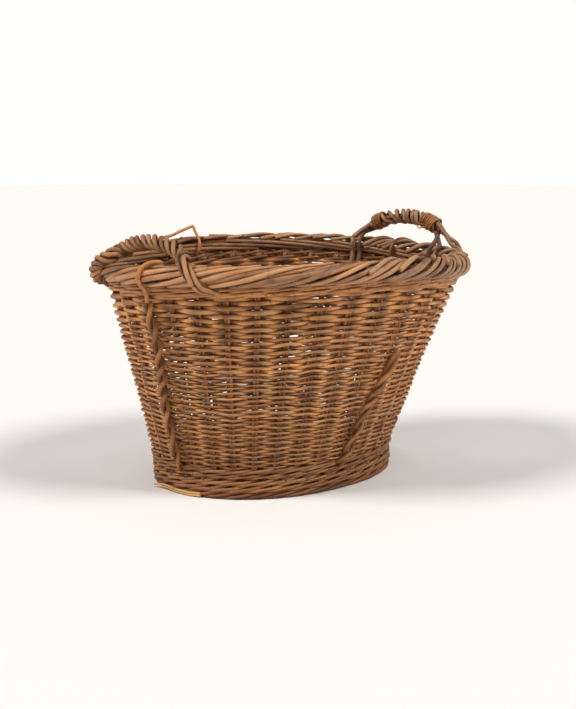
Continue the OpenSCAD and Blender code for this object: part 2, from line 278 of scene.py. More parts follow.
# %% Make a piece
def piece(name, bundles, finish, *nodes):
    """One mesh of all the bundles: their points one after another, and each bundle's faces moved on by
    the number of points before it. A finish is a material and the name of its slot; the slot name is not used."""
    material, slot = finish
    start, faces, sizes, flat = 0, [], [], []
    for b in bundles:
        for group, is_flat in ((b["quads"], False), (b["caps"], True)):
            faces.append((group + start).ravel())
            sizes.append(np.full(len(group), group.shape[1]))
            flat.append(np.full(len(group), is_flat))
        start += len(b["points"])
    faces, sizes, flat = np.concatenate(faces), np.concatenate(sizes), np.concatenate(flat)
    mesh = bpy.data.meshes.new(name)
    mesh.vertices.add(start)
    mesh.vertices.foreach_set("co", np.concatenate([b["points"] for b in bundles]).ravel())
    mesh.loops.add(len(faces))
    mesh.loops.foreach_set("vertex_index", faces.astype(np.int32))
    mesh.polygons.add(len(sizes))
    mesh.polygons.foreach_set("loop_start", np.concatenate([[0], np.cumsum(sizes)[:-1]]).astype(np.int32))
    mesh.update(calc_edges=True)
    mesh.polygons.foreach_set("use_smooth", ~flat)
    for key, kind in (("rod", "FLOAT_VECTOR"), ("tone", "FLOAT"), ("age", "FLOAT"), ("painted_shade", "FLOAT")):
        values = np.concatenate([b[key] for b in bundles]).ravel()
        mesh.attributes.new(key, kind, "POINT").data.foreach_set("vector" if key == "rod" else "value", values)
    mesh.materials.append(material)
    obj = bpy.data.objects.new(name, mesh)
    bpy.context.scene.collection.objects.link(obj)
    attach(obj, "root")
    if nodes:
        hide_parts(*nodes)
    print(name, "has", int((sizes - 2).sum()), "triangles")
    return obj


print("piece helper ready")

# %% [markdown]
# ## Willow
#
# Buff willow is boiled in its bark and then stripped, which dyes it brown. No two rods have the same
# brown, each has fine streaks along it and a small scar where each leaf was, and rods that hands rub
# or that the weather reaches turn grey. One node group makes all of that from the place along the
# rod, and each finish gives it its own three colours. The group also paints shade: darker in the
# creases and hidden parts, and darker and browner low down, towards the floor.

# %% The willow node group
def socket(group, name, kind, out=False, value=None):
    """A named input or output of a node group."""
    s = group.interface.new_socket(name=name, in_out="OUTPUT" if out else "INPUT", socket_type=kind)
    if value is not None:
        s.default_value = value
    return s


def shade(red, green, blue):
    """A colour from its 0 to 255 values, as light: each value over 255, to the power 2.2."""
    return tuple((v / 255) ** 2.2 for v in (red, green, blue)) + (1.0,)


class Wires:
    """Short words for adding nodes and joining them."""

    def __init__(self, tree):
        self.tree = tree

    def add(self, kind, inputs=(), **settings):
        node = self.tree.nodes.new(kind)
        for key, value in settings.items():
            setattr(node, key, value)
        for key, value in dict(inputs).items():
            if isinstance(value, bpy.types.NodeSocket):
                self.tree.links.new(value, node.inputs[key])
            else:
                node.inputs[key].default_value = value
        return node

    def math(self, operation, a, b=0.0, c=0.0, clamp=False):
        return self.add("ShaderNodeMath", {0: a, 1: b, 2: c}, operation=operation, use_clamp=clamp).outputs[0]

    def mix(self, factor, a, b, blend="MIX"):
        node = self.add("ShaderNodeMix", {0: factor, 6: a, 7: b}, data_type="RGBA", blend_type=blend)
        return node.outputs[2]

    def noise(self, vector, scale, detail=3.0, roughness=0.55):
        node = self.add("ShaderNodeTexNoise", {"Vector": vector, "Scale": scale, "Detail": detail,
                                               "Roughness": roughness})
        return node.outputs[0]

    def stretch(self, vector, scale):
        return self.add("ShaderNodeMapping", {"Vector": vector, "Scale": scale}).outputs[0]

    def ramp(self, value, low, high):
        node = self.add("ShaderNodeMapRange", {0: value, 1: low, 2: high, 3: 0.0, 4: 1.0}, clamp=True)
        return node.outputs[0]


def willow_group():
    """Colour, roughness and height of a stripped rod."""
    group = bpy.data.node_groups.new("willow bark", "ShaderNodeTree")
    # The fourth colour darkens the scars, the specks and the painted shade; the fifth is the painted shade low down
    for name, value in (("Light", shade(200, 158, 118)), ("Dark", shade(98, 62, 36)),
                        ("Grey", shade(170, 150, 128)), ("Marks and shade", shade(34, 19, 10)),
                        ("Low shade", shade(108, 58, 18))):
        socket(group, name, "NodeSocketColor", value=value)
    socket(group, "Spread", "NodeSocketFloat", value=0.7)
    socket(group, "Streaks", "NodeSocketFloat", value=0.5)
    socket(group, "Colour", "NodeSocketColor", out=True)
    socket(group, "Roughness", "NodeSocketFloat", out=True)
    socket(group, "Height", "NodeSocketFloat", out=True)
    w = Wires(group)
    given = w.add("NodeGroupInput").outputs
    made = w.add("NodeGroupOutput")
    rod = w.add("ShaderNodeAttribute", attribute_name="rod").outputs["Vector"]
    tone, age, painted_shade = (w.add("ShaderNodeAttribute", attribute_name=key).outputs["Fac"]
                        for key in ("tone", "age", "painted_shade"))
    fine = w.noise(w.stretch(rod, (60, 900, 900)), 1.0, 4.0)
    patch = w.noise(w.stretch(rod, (28, 70, 70)), 1.0, 2.0)
    slow = w.noise(w.stretch(rod, (7, 20, 20)), 1.0, 2.0)
    speck = w.noise(w.stretch(rod, (220, 420, 420)), 1.0, 2.0)
    # How light the rod is here: its own tone with any painted highlight and shade added, slow drift, patches and
    # streaks
    light = w.math("MULTIPLY_ADD", w.math("SUBTRACT", tone, 0.5), given["Spread"], 0.5)
    light = w.math("MULTIPLY_ADD", w.math("SUBTRACT", slow, 0.5), 1.1, light)
    light = w.math("MULTIPLY_ADD", w.math("SUBTRACT", patch, 0.5), 0.9, light)
    light = w.math("MULTIPLY_ADD", w.math("SUBTRACT", fine, 0.5), given["Streaks"], light, clamp=True)
    colour = w.mix(light, given["Dark"], given["Light"])
    # Leaf scars: a short dark band every five centimetres or so, broken by the patches
    along = w.add("ShaderNodeSeparateXYZ", {0: rod}).outputs[0]
    bead = w.math("FRACT", w.math("MULTIPLY_ADD", along, 19.0, w.math("MULTIPLY", patch, 1.6)))
    scar = w.math("MULTIPLY", w.ramp(w.math("ABSOLUTE", w.math("SUBTRACT", bead, 0.5)), 0.05, 0.015),
                  w.ramp(patch, 0.45, 0.6))
    colour = w.mix(w.math("MULTIPLY", scar, 0.6), colour, given["Marks and shade"])
    colour = w.mix(w.math("MULTIPLY", w.ramp(speck, 0.62, 0.72), 0.35), colour, given["Marks and shade"])
    # Greyed patches where the rod is worn, as much as its age says
    grey = w.math("MULTIPLY", age, w.ramp(w.math("ADD", patch, w.math("MULTIPLY", fine, 0.4)), 0.45, 0.9))
    colour = w.mix(grey, colour, given["Grey"])
    # Painted shade: darker and browner low down, nothing at 26 cm above the floor and full at 2 cm, and darker over
    # everything as much as the painted shade attribute says
    above_floor = w.add("ShaderNodeSeparateXYZ", {0: w.add("ShaderNodeTexCoord").outputs["Object"]}).outputs[2]
    colour = w.mix(w.math("MULTIPLY", w.ramp(above_floor, 0.26, 0.02), 0.25), colour, given["Low shade"])
    colour = w.mix(w.math("MULTIPLY", painted_shade, 0.8), colour, given["Marks and shade"])
    w.tree.links.new(colour, made.inputs["Colour"])
    rough = w.math("MULTIPLY_ADD", fine, 0.25, 0.36)
    w.tree.links.new(w.math("MULTIPLY_ADD", painted_shade, 0.2, rough, clamp=True), made.inputs["Roughness"])
    height = w.math("MULTIPLY_ADD", fine, 0.6, w.math("MULTIPLY", scar, 1.5))
    w.tree.links.new(w.math("MULTIPLY_ADD", patch, 0.8, height), made.inputs["Height"])
    return group


willow = willow_group()
print("node group", willow.name, "with", len(willow.nodes), "nodes")

# %% [markdown]
# The five finishes differ only in their colours and in how much those vary: the buff weaving rods, the
# darker stakes, the greyed rods of border and handles, the orange-brown rods of the braces and bindings,
# and the pale inside of a rod that broke lately. The shader stays in each material, and the group feeds
# its colour, roughness and bump.

# %% The five finishes
def finish(name, slot, light, dark, grey, spread, streaks):
    """A willow material with its own colours, and its slot."""
    material = bpy.data.materials.new(name)
    material.use_nodes = True
    tree = material.node_tree
    shader = tree.nodes["Principled BSDF"]
    bark = tree.nodes.new("ShaderNodeGroup")
    bark.node_tree = willow
    for key, value in (("Light", shade(*light)), ("Dark", shade(*dark)), ("Grey", shade(*grey)),
                       ("Spread", spread), ("Streaks", streaks)):
        bark.inputs[key].default_value = value
    bump = tree.nodes.new("ShaderNodeBump")
    bump.inputs["Strength"].default_value = 0.35
    bump.inputs["Distance"].default_value = 0.0006
    tree.links.new(bark.outputs["Colour"], shader.inputs["Base Color"])
    tree.links.new(bark.outputs["Roughness"], shader.inputs["Roughness"])
    tree.links.new(bark.outputs["Height"], bump.inputs["Height"])
    tree.links.new(bump.outputs["Normal"], shader.inputs["Normal"])
    shader.inputs["Specular IOR Level"].default_value = 0.45
    return material, slot


buff = finish("buff willow", "buff_willow", (229, 158, 91), (109, 61, 28), (178, 144, 106), 0.4, 0.8)
dark = finish("dark willow", "dark_willow", (192, 120, 65), (97, 53, 26), (150, 122, 96), 0.6, 0.5)
weathered = finish("weathered willow", "weathered_willow", (214, 150, 93), (101, 59, 32), (160, 130, 104), 0.7, 0.6)
binding = finish("binding willow", "binding_willow", (212, 140, 76), (108, 62, 30), (146, 114, 84), 0.6, 0.6)
pale = finish("fresh broken willow", "buff_willow", (236, 190, 118), (190, 138, 76), (220, 180, 120), 0.3, 0.6)
print("finishes", [m.name for m, slot in (buff, dark, weathered, binding, pale)])

# %% [markdown]
# ## Foot
#
# The maker turns the finished base over, pushes short rods in beside the stakes and weaves a foot on
# them. It lifts the base off a wet hearth. The bottom edge is a small rolled border, so its rods run
# round it like a rope, and it is pressed flat where the basket stands.

# %% Foot
POINTS_PER_GAP = 8


def waling(place, low, high, rows, rod_r, swing, seed):
    """Waling: three rods in turn pass outside two stakes and inside the third. One closed path that goes
    round three times holds all three, and it climbs while it is outside and drops while it is inside."""
    g = np.arange(3 * STAKES * POINTS_PER_GAP) / POINTS_PER_GAP
    t = g * GAP
    row_h = (high - low) / rows
    # Walings near the floor get painted shade all over
    low_wale_shade = 0.36 * (low < 0.1)
    out = []
    for row in range(rows):
        phase = (g + row * 1.5) % 3
        side = np.interp(phase, [0, 0.5, 1, 1.5, 2, 2.5, 3], [-1, 0.1, 1.1, 0.85, 1.1, 0.1, -1])
        climb = np.interp(phase, [0, 0.5, 2.5, 3], [0, -1, 1, 0]) * row_h * 0.42
        z = low + (row + 0.5) * row_h + climb + drift(t, 1, 0.0006, (2, 5, 9, 23), seed + row)[0]
        size = rod_r * (1 + drift(t, 1, 0.10, (1, 2, 3, 7), seed + row + 7)[0])
        # Painted shade where the rod goes in behind a stake, and all over on walings near the floor
        shade_paint = 0.7 * np.clip(0.3 - side, 0, 1) + low_wale_shade
        path = place(t, z, side * swing)
        hint = place(t, z, 0.02 + side * swing) - path
        out.append(rods(path[None], size[None], hint=hint[None], closed=True, painted_shade=shade_paint[None],
                        flank=0.9, bumps=0.05))
    return out


foot_rod_r = 0.0026
bottom_roll_r, bottom_roll_z = 0.0038, 0.0062
rods_in_foot = np.arange(STAKES)
s = np.linspace(0, 1, 22)
t = (rods_in_foot[:, None] + 2.9 * s) * GAP
f = np.radians(-120 + 260 * s) + 0 * t
out = bottom_roll_r * np.cos(f) * 1.25
z = bottom_roll_z + bottom_roll_r * np.sin(f) + normals(STAKES) * 0.0003
roll_r = foot_rod_r * (1.08 - 0.25 * s)[None] * (1 + 0.06 * normals(STAKES))
# Painted shade over the whole roll and on its underside, and more on the core, which shows only in the gaps
foot_roll = rods(foot(t, z, out), roll_r, age=0.1, painted_shade=0.42 + 0 * t, bumps=0.06, groove=0.3)
core_t = np.arange(0, 360, 3.0)
foot_core = rods(foot(core_t, bottom_roll_z, 0)[None], 0.0030, closed=True, painted_shade=0.5)
foot_bundles = [foot_roll, foot_core]
# The basket stands on the floor, so nothing of the roll goes below it
for b in foot_bundles:
    b["points"][:, 2] = np.maximum(b["points"][:, 2], 0)
piece("foot_roll", foot_bundles, dark, "foot_border")

# %% [markdown]
# At the left end of the foot a rod has split. Two pale strips of it still lie on the edge, and their
# tips stand off.

# %% The split rod
knots = foot([194, 187, 179, 172, 167, 164], [0.0035, 0.0025, 0.003, 0.0045, 0.0035, 0.0020],
             [0.0068, 0.0078, 0.0082, 0.0085, 0.0115, 0.0175])
strip_points = 40
strips = [rods(smooth(knots + np.array([0, 0, lift]), strip_points),
               np.linspace(0.0020, tip_r, strip_points)[None], sides=7, tone=[0.95 + 0.04 * i])
          for i, (lift, tip_r) in enumerate(((0.0, 0.0006), (0.0036, 0.0014)))]
piece("foot_splinter", strips, pale)

# %% The stakes and waling of the foot
level = np.linspace(0.006, 0.046, 8)
foot_stake = np.arange(2 * STAKES)
pair = (foot_stake // 2) * GAP + np.where(foot_stake % 2, 0.75, -0.75)
foot_stakes = foot(pair[:, None] + 0 * level, level[None], -0.0005 + 0 * level)
# Painted shade on the foot stakes, which lie behind the waling
piece("foot_stake_rods", [rods(foot_stakes, 0.0023, hint=(1, 0.2, 0), painted_shade=0.35)],
      dark, "foot_stakes")
foot_wale_low, foot_wale_high = 0.0110, 0.0310
piece("foot_waling", waling(foot, foot_wale_low, foot_wale_high, 2, 0.0025, 0.0054, 11),
      buff, "foot_wale")

# %% [markdown]
# ## Base
#
# Seven thick sticks lie across the base, each slit in the middle so that four long sticks go through
# it. Weavers go round and round them, over one stick and under the next. The height of a weaver is a
# cosine that counts sticks, so it is up at one stick and down at its neighbour.

# %% Base
base_z = 0.031
stick_reach = 0.007
cross_number, long_number = np.arange(3, -4, -1), np.arange(-1.5, 2)
cross_x = oval(base_half[0], 1, 90 + cross_number * GAP)[:, 0]
long_y = oval(1, base_half[1], long_number * GAP)[:, 1]
cross_y = oval(1, base_half[1] + stick_reach, 90 + cross_number * GAP)[:, 1]
long_x = oval(base_half[0] + stick_reach, 1, long_number * GAP)[:, 0]
middle = np.array([*foot_middle, base_z])


def bent(count, size, seed):
    """How far sticks bend from straight: a slow wander along them, of a millimetre or less."""
    return drift(180 * k, count, size, (1, 2), seed)


def dark_ends(path):
    """Painted shade on the two ends of a stick, at the edge of the base: none along it, and more the nearer its
    end.
    """
    return 0.85 * np.clip(np.abs(np.linspace(-1, 1, path.shape[1])) * 10 - 9, 0, 1)[None]


stick_points = 16
k = np.linspace(-1, 1, stick_points)
cross_path = np.stack([np.repeat(cross_x[:, None], stick_points, 1) + bent(7, 0.0008, 3),
                       cross_y[:, None] * k, bent(7, 0.0003, 4)], -1) + middle
long_path = np.stack([long_x[:, None] * k,
                      np.repeat(long_y[:, None], stick_points, 1) + bent(4, 0.0008, 5),
                      bent(4, 0.0003, 6)], -1) + middle
piece("cross_stick_rods", [rods(cross_path, 0.0058, sides=16, tone=0.55 + 0.3 * rng.random(7),
                                painted_shade=dark_ends(cross_path))],
      dark, "base_cross_sticks")
piece("long_stick_rods", [rods(long_path, 0.0039, sides=12, painted_shade=dark_ends(long_path))],
      dark, "base_long_sticks")

# %% Base weaving
base_row, base_rows = 0.0045, 34
edge = 0.0065 + base_row * np.arange(base_rows)
around = np.linspace(0, 360, 160, endpoint=False)
plan = oval(base_half[0] - edge[:, None], base_half[1] - edge[:, None], around[None])
count_x = np.interp(plan[..., 0], [-base_half[0], *cross_x, base_half[0]], np.arange(-4, 5))
count_y = np.interp(plan[..., 1], [-base_half[1], *long_y, base_half[1]], np.arange(-2, 4))
turn = np.arange(base_rows)[:, None] % 2
lift = 0.0072 * np.cos(np.pi * (count_x + np.sign(plan[..., 0] + 1e-9) * count_y + turn))
weave_path = np.concatenate([plan, lift[..., None]], -1) + middle
# Round the middle there is no room for a ring, so five short rods are woven straight through
spine_turn, spine_row = np.linspace(-1.5, 1.5, 30) * np.pi, np.arange(5)[:, None] * np.pi
spine = np.stack(np.broadcast_arrays(np.linspace(-0.062, 0.062, 30)[None],
                                     np.linspace(-0.0075, 0.0075, 5)[:, None],
                                     0.0045 * np.cos(spine_turn + spine_row)), -1)
# Painted shade over all of the base weaving and its spine
piece("base_weaving", [rods(weave_path, 0.0021, sides=6, closed=True, painted_shade=0.25),
                       rods(spine + middle, 0.0020, hint=(0, 1, 0), sides=6, painted_shade=0.25)],
      buff, "base_weave")

# %% [markdown]
# ## Stakes
#
# Each stake has a second rod pushed in beside it, a bye-stake. They are only seen in the holes of the
# weave, but they are what the weave is bent round.

# %% Stakes and bye-stakes
stake_points, stake_r, degree_of_wall = 26, 0.0031, 0.00465
level = np.linspace(0.0262, 0.344, stake_points)
for name, node, side in (("stake_rods", "stakes", -1), ("bye_stake_rods", "bye_stakes", 1)):
    t = np.arange(STAKES)[:, None] * GAP + 0 * level
    beside = side * stake_r / degree_of_wall * (1 - 0.25 * (level - 0.03) / 0.31)
    wobble = drift(level[None] * 1500, STAKES, 0.12, (1, 2, 3), 20 + side)
    in_or_out = 0.3 * drift(level[None] * 1500, STAKES, 0.001, (1, 2), 30 + side)
    path = wall(t + beside + wobble, level[None], in_or_out)
    thinning = (stake_r - 0.0006 * np.linspace(0, 1, stake_points))[None]
    # A little painted shade on the stakes, which show only in the holes of the weave
    piece(name, [rods(path, thinning, hint=(1, 0.3, 0), painted_shade=0.05)], dark, node)

# %% [markdown]
# ## Siding
#
# The wall is randing: single rods that pass in front of one stake pair and behind the next, each row
# the other way from the row below. The rods are thin low down and thicker near the top. A rod starts
# thick at its butt, ends at its thin tip, and is followed by the next one behind a stake, so the ends
# stay inside. The distance in or out of the wall is nearly a zigzag over the stakes, because the rods
# were pulled tight.

# %% Siding
def row_spacing(z):
    """Distance from a row to the next at a height: fine weavers low down, thick ones near the top."""
    return np.interp(z, [0.05, 0.075, 0.205, 0.225, 0.275, 0.290],
                     [0.0037, 0.0042, 0.0044, 0.0051, 0.0053, 0.0069])


COURSES = 10
siding_low, siding_high = 0.0494, 0.328
frame_siding_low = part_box("siding_course_1")[0][2]
row_z = [siding_low + 0.0019]
while row_z[-1] + row_spacing(row_z[-1]) < siding_high - 0.002:
    row_z.append(row_z[-1] + row_spacing(row_z[-1]))
row_z = np.array(row_z)
course_h = (siding_high - siding_low) / COURSES
print(len(row_z), "rows of siding from z", siding_low, "and in the frame from", round(float(frame_siding_low), 4))


def siding(numbers):
    """Rows of randing, two rods to a row. In and out is the arc sine of a cosine: straight from stake to
    stake, with a rounded corner on each. Waves and small steps keep the rows uneven."""
    extra = 1.1
    n = int((STAKES / 2 + extra) * POINTS_PER_GAP) + 1
    number = np.repeat(numbers, 2)
    seed = int(number[0])
    second = np.tile([0, 1], len(numbers))
    count = len(number)
    start = (2 * rng.integers(0, STAKES // 2, len(numbers)).repeat(2) + (number + second) % 2
             + second * STAKES // 2)
    g = start[:, None] - extra / 2 + np.arange(n)[None] / POINTS_PER_GAP
    t = g * GAP
    k = np.linspace(0, 1, n)[None]
    own = normals(count).clip(-2, 2)
    fullness = np.interp(row_z, [0.1, 0.21, 0.28], [0.98, 1.02, 1.08])[number][:, None] + 0.10 * own
    rod_r = row_spacing(row_z)[number][:, None] * 0.5 * fullness * (1.10 - 0.20 * k)
    rod_r = rod_r * (1 + drift(t, count, 0.05, (5, 13, 29), 300 + seed) + jog(g, count, 0.06, 600 + seed))
    height = row_z[number][:, None]
    thin = np.sin(np.radians(3 * t) + 21 * height) + np.sin(np.radians(7 * t) - 33 * height + 1)
    rod_r = rod_r * (1 - 0.135 * np.clip(thin, 0, 2) * np.clip((height - 0.10) / 0.08, 0, 1))
    beat = np.cos(np.pi * (g + number[:, None] + drift(t, count, 0.045, (3, 7, 11), 100 + seed)))
    swing = np.arcsin(0.98 * beat) / math.asin(0.98)
    ends = np.clip(1 - np.minimum(k, 1 - k) * n / POINTS_PER_GAP / (extra * 0.7), 0, 1)
    out = swing * (0.0029 + rod_r) - ends * 2.0 * rod_r + drift(t, count, 0.0003, (6, 19, 31), 400 + seed)
    # Rows near the two walings lie level, and rows between them wave up and down and dip at the stakes
    share = np.sin(np.pi * np.clip((height - 0.049) / 0.28, 0, 1)) ** 0.6
    field = (0.0020 * np.sin(np.radians(2 * t) + 1.0 + 9 * height)
             + 0.0013 * np.sin(np.radians(5 * t) + 2.0 - 14 * height)
             + 0.0010 * np.sin(np.radians(9 * t) + 25 * height))
    chevron = (0.0014 - 0.0036 * np.clip(height - 0.06, 0, 0.3)) * np.cos(2 * np.pi * g)
    chevron = chevron * (0.7 + 0.9 * np.sin(np.radians(4 * t) + 17 * height))
    z = (height + share * (field + chevron) + drift(t, count, 0.00045, (4, 9, 17, 33), 200 + seed)
         + 0.0004 * own * share)
    z = z + jog(g, count, 0.00055, 500 + seed) * (0.4 + 0.6 * share)
    # Painted shade where the rod lies behind a stake, a narrow darker band where it bends round the front of one,
    # and more low on the wall
    painted_shade = 0.9 * np.clip(-0.05 - swing, 0, 1) ** 0.6 + 0.36 * np.exp(-((swing - 1) / 0.10) ** 2)
    painted_shade = painted_shade + 0.22 * np.clip((0.12 - z) / 0.08, 0, 1)
    path = wall(t, z, out)
    # Painted light: a painted highlight between the stakes and painted shade over them
    painted_light = -(0.46 + 0.18 * np.sin(np.radians(5 * t) + 30 * z)) * np.cos(2 * np.pi * g)
    return rods(path, rod_r, hint=wall(t, z, out + 0.01) - path, painted_light=painted_light, painted_shade=painted_shade, flank=0.95,
                bumps=0.05, age=0.1 + 0.5 * (np.abs(own) > 1.3))


course = np.clip(((row_z - siding_low) / course_h).astype(int), 0, COURSES - 1)
for number in range(COURSES):
    piece("siding_rows_%d" % (number + 1), [siding(np.flatnonzero(course == number))],
          buff, "siding_course_%d" % (number + 1))

# %% [markdown]
# ## Waling
#
# Two rows of three-rod waling hold the stakes at the bottom of the wall and again under the border.
# They are stronger than randing, and they show as slanting strands.

# %% Upset and top waling
upset_low, upset_high = 0.0320, 0.0500
top_low, top_high = 0.3275, 0.3420
piece("upset_waling", waling(wall, upset_low, upset_high, 2, 0.0025, 0.0062, 41),
      buff, "upset_wale")
piece("top_waling", waling(wall, top_low, top_high, 2, 0.0029, 0.0068, 51),
      buff, "top_wale")

# %% [markdown]
# ## Border
#
# At the top every stake and bye-stake turns down to the right and goes under the next ones and up
# over the outside, in pairs, until it is cut off on top. So the border is a roll of slanting rods.
# Each one climbs round the roll while it moves on by two stake gaps at the right end, and by up to four
# at the left, where they lie long and low.

# %% Border rods
border_points = 44


def right_share(t):
    """One round the right end, where the rods climb steeply, and nothing where they lie long and low."""
    return np.interp(t % 360, [0, 15, 40, 195, 235, 262, 282, 360], [1, 0.8, 0, 0, 0.3, 0.6, 1, 1])


def border_rods(first):
    """Rods of one quarter: up along the stake, then round the roll at a climb that drifts from rod to rod."""
    count = STAKES // 2
    number = first + np.arange(count)
    place = number / 2 * GAP
    slow = np.sin(np.radians(place * 3 + 40))[:, None]
    right_end = right_share(place)[:, None]
    level = np.interp(place % 360, [0, 40, 90, 140, 170, 200, 238, 360], [0, 0.4, 0.5, 1, 1, 1, 0, 0])[:, None]
    second = number % 2
    under = level * second[:, None]
    t0 = (np.floor(number / 2) * GAP + second * (0.44 - 0.05 * right_end[:, 0]) * GAP
          + rng.normal(size=count) * 0.35)
    travel = 3.15 + 0.3 * slow + 0.15 * normals(count) - 0.95 * right_end ** 2 + 1.2 * level
    start = -112 + 5 * normals(count) + 22 * level
    end = 128 + 12 * normals(count) + 38 * right_end - 14 * level
    k = np.linspace(0, 1, 26)
    t = t0[:, None] + travel * GAP * k
    bow_in = normals(count) * 7
    f = start + (end - start) * k + (bow_in - 20 * right_end) * np.sin(2 * np.pi * k)
    r = (border_r + (0.0004 + 0.0007 * normals(count)) * np.sin(np.pi * k)
         + 0.002 * np.clip(k * 10 - 9, 0, 1))
    r = (r + second[:, None] * (0.0004 - 0.0012 * right_end)
         + (0.0016 * right_end - 0.0048 * under) * np.sin(np.pi * k) ** 0.5)
    up = wall(t0[:, None] + np.array([[-1.4, -1.1]]), np.array([[0.334, 0.342]]), -0.001)
    path = smooth(np.concatenate([up, rim(t, r, f)[:, 2:]], 1), border_points)
    along = np.linspace(0, 1, border_points)
    size = ((0.0038 + 0.0001 * right_end) * (1 + 0.09 * normals(count))
            * np.interp(along, [0, 0.5, 1], [1.0, 1.04, 0.86]))
    # Painted shade where the rod comes up out of the waling, on the rods that go under, and in the creases between
    # rods
    painted_shade = 0.4 * np.clip(1 - along * 6, 0, 1) + 0.3 * under
    greyed = 0.2 + 0.25 * rng.random(count) + 0.5 * right_end[:, 0]
    roll_middle = rim(t0[:, None] + travel * GAP * along, 0.0, 0.0)
    return rods(path, size, hint=path - roll_middle, sides=12, age=greyed, painted_shade=painted_shade, bumps=0.05,
                groove=0.75, flank=0.75)


for first, side in ((-11, "right"), (6, "rear"), (23, "left"), (40, "front")):
    piece("border_roll_" + side, [border_rods(first)], weathered, "border_rods_" + side)

# %% [markdown]
# At the right end the rods were cut long and turned over the top once more, so each gap has a short
# hook that starts with a cut end and dives inside.

# %% Hooks on the right end
hooks = 12
first = (np.arange(-hooks, 0)[:, None] + 0.72) * GAP + normals(hooks) * 0.5
right_end = right_share(first)
start = 0.50 + 0.05 * normals(hooks)
k = start + (1.03 - start) * np.linspace(0, 1, 26)
lift = 0.0050 - 0.006 * np.clip((k - 0.75) / 0.3, 0, 1) ** 2
along = first + (3.15 - 0.95 * right_end ** 2) * GAP * k
climb = -112 + (240 + 38 * right_end) * k - 20 * right_end * np.sin(2 * np.pi * k)
hook = rim(along, border_r + lift, climb)
hook_middle = rim(along, 0.0, 0.0)
hook_r = 0.0043 * (1 + 0.06 * normals(hooks))
# Painted shade in the creases between the hooks
piece("border_hooks", [rods(hook, hook_r, hint=hook - hook_middle, sides=12, age=0.75, bumps=0.05,
                            groove=0.7, flank=0.75)],
      weathered)

# %% [markdown]
# Inside the roll the long tips lie nearly level. Some fill the roll from within, and some run in its
# middle, where they are only seen in the gaps.

# %% Rods inside the border
k = np.linspace(0, 1, 40)
count = 17
t = (np.arange(count)[:, None] * 2 + 5.2 * k) * GAP
f = 238 - 78 * k + normals(count) * 3
inner_r = 0.0036 * (1.1 - 0.35 * k)[None] * (1 + 0.05 * normals(count))
# A little painted shade on the rods inside the roll
inner = rods(rim(t, border_r - 0.0005, f), inner_r, hint=(0, 0, 1), age=0.3 + 0.4 * rng.random(count),
             painted_shade=0.15, bumps=0.05)
piece("border_inside", [inner], weathered, "border_inner_rods")
t = np.arange(0, 360, 2.5)
# Painted shade on the tips in the middle of the roll, which show only in the gaps
core = [rods(rim(t, 0.0035, turn + t * 7)[None], 0.0032, closed=True, painted_shade=0.4) for turn in (0, 120, 240)]
piece("border_tips", core, dark, "border_core")

# %% [markdown]
# ## Handles
#
# A handle is a bow pushed down into the wall beside two stakes, with rods wound side by side round
# it. The winding is a helix: a point runs along the bow while it turns round it. The left handle's line
# itself runs down the outside of the border and is tucked under it. On the right handle the rods part
# at each foot and go down both sides of the border.

# %% The lines of the handles
def arch(side, top, lean, half_span, share, full=1.0):
    """Upright half oval that tips inwards by lean: share goes from the front to the rear, and a full
    below 1 lifts its shoulders."""
    a = np.pi * np.asarray(share, float)
    low = border_z - 0.025
    x = side * (mouth_half[0] + border_out - 0.014 - lean * np.sin(a))
    return np.stack([x, -half_span * np.cos(a), low + (top - low) * np.sin(a) ** full], -1)


class Handle:
    """A handle's middle line through knots, where share 0 to 1 is an even walk along it."""

    def __init__(self, side, knots):
        self.side = side
        self.points = smooth(knots, 800)[0]
        steps = np.linalg.norm(np.diff(self.points, axis=0), axis=1)
        self.walked = np.concatenate([[0], np.cumsum(steps)])
        self.length = self.walked[-1]

    def line(self, share):
        """Point at a share of the length."""
        at = np.asarray(share, float) * self.length
        return np.stack([np.interp(at, self.walked, self.points[:, i]) for i in range(3)], -1)

    def around(self, share, r, turn):
        """Point r from the line: cosine of turn away from the basket and sine of turn across the line."""
        along = unit(self.line(np.minimum(share + 0.01, 1)) - self.line(np.maximum(share - 0.01, 0)))
        out = np.array([self.side, 0.0, 0.0])
        away = unit(out - (along * out).sum(-1, keepdims=True) * along)
        across = np.cross(along, away)
        r, turn = np.broadcast_arrays(r, turn)
        c, s = np.cos(turn)[..., None], np.sin(turn)[..., None]
        return self.line(share) + r[..., None] * (c * away + s * across)


over = np.array([0.0190, 0.0205, 0.0225, 0.0245, 0.0262, 0.0270])
down = [-78, -48, -16, 16, 48, 76]
front_foot = rim([207.0, 205.4, 203.8, 202.0, 199.9, 197.8], over, down)
rear_foot = rim([154.4, 156.0, 157.8, 159.9, 162.2, 164.6], over - 0.0015, down)
tuck = [wall(210.5, 0.3335, -0.002)[None], wall(151.2, 0.3335, -0.002)[None]]
left_arch = arch(-1, 0.408, 0.014, 0.112, [0.28, 0.39, 0.5, 0.61, 0.70])
left = Handle(-1, np.concatenate([tuck[0], front_foot, left_arch, rear_foot[::-1], tuck[1]]))
right = Handle(1, arch(1, 0.414, -0.006, 0.108, np.linspace(0.13, 0.87, 11), 0.75))
print("left handle line", round(left.length, 3), "m, right", round(right.length, 3), "m")


# %% Winding
def bow_rods(handle, start, end, r=0.0026):
    """Three rods side by side in the middle of the handle."""
    k = np.linspace(0, 1, 44)[None]
    places = np.array([[0.5], [2.6], [4.7]])
    path = handle.around(start + (end - start) * k + np.zeros((3, 1)), r, places + 0.8 * k)
    # Painted shade on the bow rods, which lie under the winding
    return rods(path, r, hint=(handle.side, 0, 0), painted_shade=0.2)


